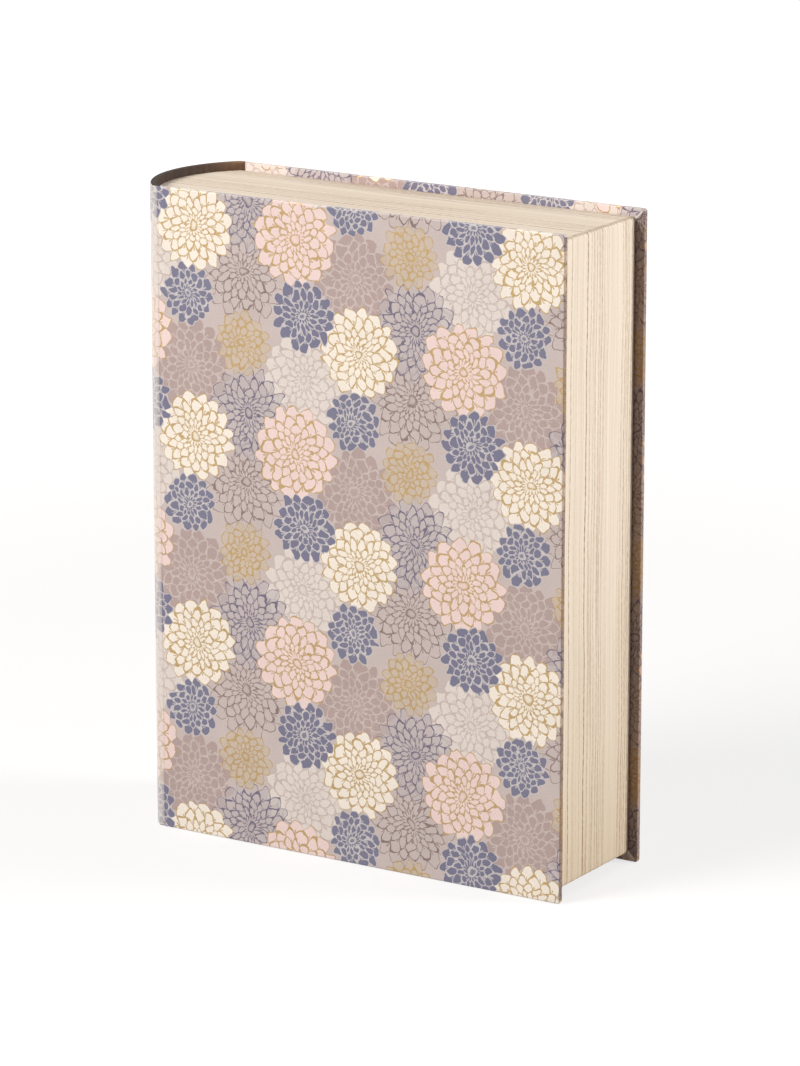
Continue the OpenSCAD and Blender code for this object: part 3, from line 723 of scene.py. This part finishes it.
# The plan is carried up the height, with the same folded edge at head and tail. The edge runs from the
# outline across to the board's inner arc, which meets the straight ends in a point near each joint. The ink
# is rubbed on the spine's two corners.
def spineGrids(s, p):
    x, y = spinePlan(s, p["joinX"], coverLow[0])
    run = lengthAlong(x, y)
    arc = np.flatnonzero(np.abs(np.hypot(x - s["centreX"], y - s["centreY"]) - s["radius"]) < 1e-6)
    last = np.flatnonzero((x <= p["joinX"]) & (y > s["centreY"]))[-1]
    innerR = s["radius"] - s["shell"]
    lean = math.atan2(s["centreY"] - y[arc[0]], s["centreX"] - x[arc[0]])
    tipLean = math.asin((s["centreY"] - s["endY"] - p["tip"]) / innerR)
    turn = np.interp(run, run[[0, arc[0], arc[-1], last]], [tipLean, lean, -lean, -tipLean])
    toX, toY = s["centreX"] - innerR * np.cos(turn) - x, s["centreY"] - innerR * np.sin(turn) - y
    toX[last + 1:], toY[last + 1:] = 0, -p["tip"]
    deep = np.hypot(toX, toY)
    outX, outY = -toX / deep, -toY / deep
    rise = np.linspace(p["wallFrom"], height - p["wallFrom"], p["heightSteps"])
    mapU = p["joinX"] - run
    a = np.linspace(0, math.pi / 2, p["foldSteps"])
    r, across = np.minimum(p["foldR"], deep / 2)[:, None], deep[:, None]
    inward = np.concatenate([r - r * np.cos(a), across - r + r * np.sin(a), across], 1)
    fromEnd = np.concatenate([r - r * np.sin(a), r - r * np.cos(a), r * 0 + p["turnIn"]], 1)
    wall = np.broadcast_to(rise, (len(x), len(rise)))
    depth = np.concatenate([inward[:, ::-1], wall * 0, inward], 1)
    z = np.concatenate([fromEnd[:, ::-1], wall, height - fromEnd], 1)
    points = np.stack([x[:, None] - outX[:, None] * depth, y[:, None] - outY[:, None] * depth, z], -1)
    steps = np.sqrt(np.diff(depth, axis=1) ** 2 + np.diff(z, axis=1) ** 2)
    v = np.concatenate([np.zeros((len(x), 1)), np.cumsum(steps, 1)], 1)
    first = inward.shape[1]
    v = v - v[:, first:first + 1] + rise[0]
    away = np.minimum(abs(run - run[arc[0]]), abs(run - run[arc[-1]]))
    full, end = p["cornerRub"]
    wearAndPaintedLight = p["cornerWear"] * np.clip((end - away) / (end - full), 0, 1)[:, None] + 0 * v
    return points, np.stack([np.broadcast_to(mapU[:, None], v.shape), v], -1), wearAndPaintedLight, mapU[-1]


*grid, backMapStart = spineGrids(spine, spinePaper)
spineSheet = makePiece("spinePaper", [grid], printedPaper, inside=(20, bookThick / 2, height / 2))
giveThickness(spineSheet, spinePaper["thick"])
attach(spineSheet, "box")
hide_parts("spine_paper")

backMap = lambda x: backMapStart - (x - backLow[0])
grids = coverGrids(coverPaper, backLow[0], backMap, coverPaper["backShade"], lambda d, y: y > 0.3)
for points, *rest in grids:
    points[..., 1] = bookThick - points[..., 1]
backPaper = makePiece("backCoverPaper", grids, printedPaper,
                      inside=(95, bookThick - coverThick / 2, height / 2))
giveThickness(backPaper, coverPaper["thick"])
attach(backPaper, "box")
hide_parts("back_cover_paper")
print("spine and back cover papered")

# Front joint: the printed paper between the spine's end and the cover, tucked a little under both and folded
# in at head and tail. It lies as a soft step.
frontJoint = dict(
    bendHalf=0.25,
    thick=0.12,
    tuck=0.25,  # how far it runs under the spine's end and the cover
    under=0.012,  # how deep it lies there
    foldR=0.16,
    turnIn=8.0,
    steps=25, heightSteps=40, foldSteps=7,
    # painted shade in the crease: its strength, and where and how wide it lies
    creaseShade=0.32,
    creaseAt=0.1,  # mm before the hinge line
    creaseWide=0.4,
)


# Across the joint the soft step falls from endY to the cover's face. Up the height two half circles of foldR
# join the outer layer to the turned-in one. A painted shade darkens the crease, as a bell curve across it.
def jointGrid(s, p, j):
    x = np.linspace(p["joinX"] - j["tuck"], coverLow[0] + j["tuck"], j["steps"])
    outer = s["endY"] * softStep(x) + j["under"]
    a, r = np.linspace(0, math.pi, j["foldSteps"]), j["foldR"]
    body = np.linspace(r, height - r, j["heightSteps"])
    low, high = r - r * np.sin(a[::-1]), height - r + r * np.sin(a)
    z = np.concatenate([[j["turnIn"]], low, body[1:-1], high, [height - j["turnIn"]]])
    deep = np.concatenate([[2 * r], r - r * np.cos(a[::-1]), body[1:-1] * 0, r - r * np.cos(a), [2 * r]])
    v = lengthAlong(z, deep)
    soilAndShade = -j["creaseShade"] * np.exp(-(((x - hingeX + j["creaseAt"]) / j["creaseWide"]) ** 2))
    x = np.broadcast_to(x, (len(z), len(x)))
    y = outer + deep[:, None]
    z, v = np.broadcast_to(z[:, None], x.shape), np.broadcast_to(v[:, None] - v[len(a)] + r, x.shape)
    return np.stack([x, y, z], -1), np.stack([x, v], -1), soilAndShade


joint = makePiece("frontJointPaper", [jointGrid(spine, spinePaper, frontJoint)], printedPaper,
                  inside=(hingeX, 10, height / 2))
joint.data.materials.append(liningPaper)  # its inner side, seen beside the tray when the cover is open
giveThickness(joint, frontJoint["thick"]).material_offset = 1
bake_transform(joint)

# Inner joint: lining paper from the tray's side of the crease to the edge of the cover, a narrow U at rest.
innerJoint = dict(
    top=1.3, bottom=0.5, foldR=0.14, thick=0.08, clear=0.02, bendHalf=0.01, heightSteps=40, steps=7
)


# Straight down beside the tray, round two small quarter circles and straight up beside the cover's edge.
def innerJointGrid(j, left, right, z0, z1):
    a = np.linspace(0, math.pi / 2, j["steps"])
    r = min(j["foldR"], (right - left) / 2)
    x = np.concatenate([[left], left + r - r * np.cos(a), right - r + r * np.sin(a), [right]])
    low, top = j["bottom"] + r, j["top"]
    y = np.concatenate([[top], low - r * np.sin(a), low - r * np.cos(a), [top]])
    z = np.linspace(z0, z1, j["heightSteps"])
    run = lengthAlong(x, y)
    x, y = np.broadcast_to(x, (len(z), len(x))), np.broadcast_to(y, (len(z), len(y)))
    run, z = np.broadcast_to(run, x.shape), np.broadcast_to(z[:, None], x.shape)
    return np.stack([x, y, z], -1), np.stack([run, z], -1)


stripLow, stripHigh = nodeBox("hinge_strip")
legX = stripLow[0] + paperThick
sides = (legX + innerJoint["clear"], coverLow[0] - innerJoint["clear"])
innerGrid = innerJointGrid(innerJoint, *sides, stripLow[2], stripHigh[2])
inner = makePiece("innerJointLining", [innerGrid], liningPaper, inside=(hingeX + 0.3, -20, height / 2))
giveThickness(inner, innerJoint["thick"])
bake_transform(inner)

# Spine lining: dark paper on the inside of the spine, taken over the board's edge at head and tail.
spineLining = dict(
    lip=0.325,  # from the spine's outer face to the lining's outer rim
    lipDrop=0.02,
    foldR=0.5,
    endY=0.62,
    proud=0.03,  # how far it stands above the board's edge
    wallFrom=2.0,
    thick=0.2,
    # paler end by the back joint: mm rubbed in full, then mm over which a painted light fades by exp(-1)
    rubFull=3.0,
    paintedLightFade=9.0,
    foldSteps=6, planSteps=121, heightSteps=40,
)


# Rings of radius r between two planes y = end and its mirror image: the angle of a ring's end is
# arcsin((centre - end) / r). The section runs over the edge at tail, up the inner face and over the edge at
# head. By the back joint the lining is paler: rubbed in full up to rubFull, and beyond that a painted light
# that falls to exp(-1) times as much with each fade length further on.
def spineLiningGrid(s, l):
    a = np.linspace(0, math.pi / 2, l["foldSteps"])
    deep, fold = s["shell"] + s["lining"], l["foldR"]
    r = s["radius"] - np.concatenate([[l["lip"]], deep - fold + fold * np.sin(a)])
    up = np.concatenate([[l["lipDrop"]], fold - fold * np.cos(a)]) - l["proud"]
    z = np.linspace(l["wallFrom"], height - l["wallFrom"], l["heightSteps"])
    r = np.concatenate([r, z * 0 + r[-1], r[::-1]])
    z = np.concatenate([up, z, height - up[::-1]])
    reach = np.arcsin((s["centreY"] - l["endY"]) / r)
    turn = np.linspace(1, -1, l["planSteps"])[:, None] * reach
    x, y = s["centreX"] - r * np.cos(turn), s["centreY"] - r * np.sin(turn)
    z = np.broadcast_to(z, x.shape)
    fromBack = (reach + turn) * s["radius"]
    wearAndPaintedLight = np.exp(-np.maximum(fromBack - l["rubFull"], 0) / l["paintedLightFade"])
    return np.stack([x, y, z], -1), np.stack([turn * s["radius"], z], -1), wearAndPaintedLight


farOutside = (-500, bookThick / 2, height / 2)  # so that the lining faces the tray
lining = makePiece("spineLining", [spineLiningGrid(spine, spineLining)], liningPaper, inside=farOutside)
giveThickness(lining, spineLining["thick"])
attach(lining, "box")
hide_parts("spine_lining")
print("spine lined")

# Page-edge paper: round the head, fore-edge and tail of the tray, over the rim and under the base, with
# pressed grooves at its strong lines and soft pleats between them.
pagePaper = dict(
    cornerR=1.5,
    rimR=0.45,
    inner=2.8,  # paper, board and turned-in paper
    innerX=5.35,  # where the turned-in part begins, past the spine's wall
    rimTurn=10.0,
    rimRow=3.0,
    baseTurn=6.0,
    baseRow=1.0,
    thick=0.2,
    clear=0.1,  # from the spine's lining
    foldSteps=6, depthSteps=250, sideSteps=44, foreSteps=52, arcSteps=8,
    groove=0.07,
    pleat=0.05,
    pleats=[(2.9, 0.4, 0.5), (1.7, 2.1, 0.3), (4.6, 1.2, 0.45)],  # width in mm, phase and weight
    fade=1.5,  # mm over which the relief comes in from the rim and the base
    soilAt=1.2,  # soiled corners, in mm from the corner
)
pageDepth = pageHigh[1] - pageLow[1]


# Depth of the relief at each place: grooves as bell curves at the strong lines and pleats as a sum of three
# waves across the depth, both shifted by a slow waver along the way, and gone at the rim and the base.
def pageRelief(p, look, across, along):
    waver = 0.35 * np.sin(along / 31 + 0.6) + 0.22 * np.sin(along / 13.7 + across / 19)
    waver = waver + 0.1 * np.sin(along / 5.3)
    place = across - waver
    relief = np.zeros(np.broadcast(across, along).shape)
    for line, strength, width in look["lines"]:
        relief += p["groove"] * strength * np.exp(-(((place - line) / (0.6 * width)) ** 2))
    for size, phase, weight in p["pleats"]:
        wave = np.sin(place * 2 * math.pi / size + phase + along / 160)
        relief += p["pleat"] * weight * (0.5 + 0.5 * wave)
    ends = np.minimum(across, pageDepth - across) / p["fade"]
    return relief * np.clip(ends, 0, 1), place


# The section runs from the inner face of the wall over the rim, across the depth and under the base. It is
# carried round head, fore-edge and tail, and each of its points begins on the arc inside the spine, at
# centreX - sqrt(r ** 2 - y ** 2) with y from the spine's middle.
def pageGrid(s, p, look):
    a = np.linspace(0, math.pi / 2, p["foldSteps"])
    r, inner, top, foot = p["rimR"], p["inner"], pageLow[1], pageHigh[1]
    d = np.concatenate([[inner, inner], inner - r + r * np.cos(a), r - r * np.sin(a)])
    y = np.concatenate([[p["rimTurn"], p["rimRow"]], r - r * np.sin(a), r - r * np.cos(a)]) + top
    face = np.linspace(top + r, foot - r, p["depthSteps"])[1:-1]
    d = np.concatenate([d, face * 0, r - r * np.cos(a), [r + p["baseRow"], p["baseTurn"]]])
    y = np.concatenate([y, face, foot - r + r * np.sin(a), [foot, foot]])
    steps = (p["sideSteps"], p["foreSteps"], p["arcSteps"])
    arcR = s["radius"] - s["shell"] - s["lining"] - p["clear"]
    startX = s["centreX"] - np.sqrt(arcR**2 - (s["centreY"] - y) ** 2)
    startX = np.where(d > 2.5, p["innerX"], startX)
    box = (pageHigh[0], pageLow[2], pageHigh[2], p["cornerR"])
    rows = 2 * steps[0] + steps[1] + 2 * steps[2]
    x, z, outX, outZ = sweepThreeSides(startX, *box, np.broadcast_to(d, (rows, len(d))), *steps)
    width, tall = pageHigh[0], pageHigh[2] - pageLow[2]
    along = np.where(outX >= abs(outZ), width + z - pageLow[2], np.where(outZ < 0, x, 2 * width + tall - x))
    corner = (abs(outX * outZ) > 0) * p["cornerR"]
    relief, place = pageRelief(p, look, y - top, along)
    outside = (d < r) & (y > top + r) & (y < foot - r)
    shift = np.where(outside, relief, 0.0)
    x, z = x - outX * shift, z - outZ * shift
    run = np.where(outside, place, (y - top) - np.where(y < top + r, d, 0))
    points = np.stack([x, np.broadcast_to(y, x.shape), z], -1)
    return points, np.stack([along, np.broadcast_to(run, x.shape)], -1)


corners = (pageHigh[0] - pagePaper["soilAt"], pageHigh[0] + pageHigh[2] - pageLow[2] + pagePaper["soilAt"])
pageMaterial = makePageEdgePaper(pageLook, pageDepth, corners)
pages = makePiece("pageEdgePaper", [pageGrid(spine, pagePaper, pageLook)], pageMaterial,
                  inside=(60, bookThick / 2, height / 2))
giveThickness(pages, pagePaper["thick"])
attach(pages, "box")
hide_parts("page_edge_paper")
print("page edges made")

# The CAD nodes that stay get the finish of their material.
boards = ("front_board", "back_board", "spine_board", "tray_base_board", "head_wall_board", "tail_wall_board",
          "fore_edge_wall_board", "spine_wall_board", "head_spine_cap", "tail_spine_cap")
linings = ("front_lining", "tray_wall_lining", "tray_floor_lining", "hinge_strip")
finishes = {**dict.fromkeys(boards, greyboard), **dict.fromkeys(linings, liningPaper),
            "keeper_plates": keeperSteel, "closure_magnets": magnetNickel}
for node, material in finishes.items():
    slots = frame["nodes"][node].data.materials
    slots.clear()
    slots.append(material)
print("hidden pieces finished")
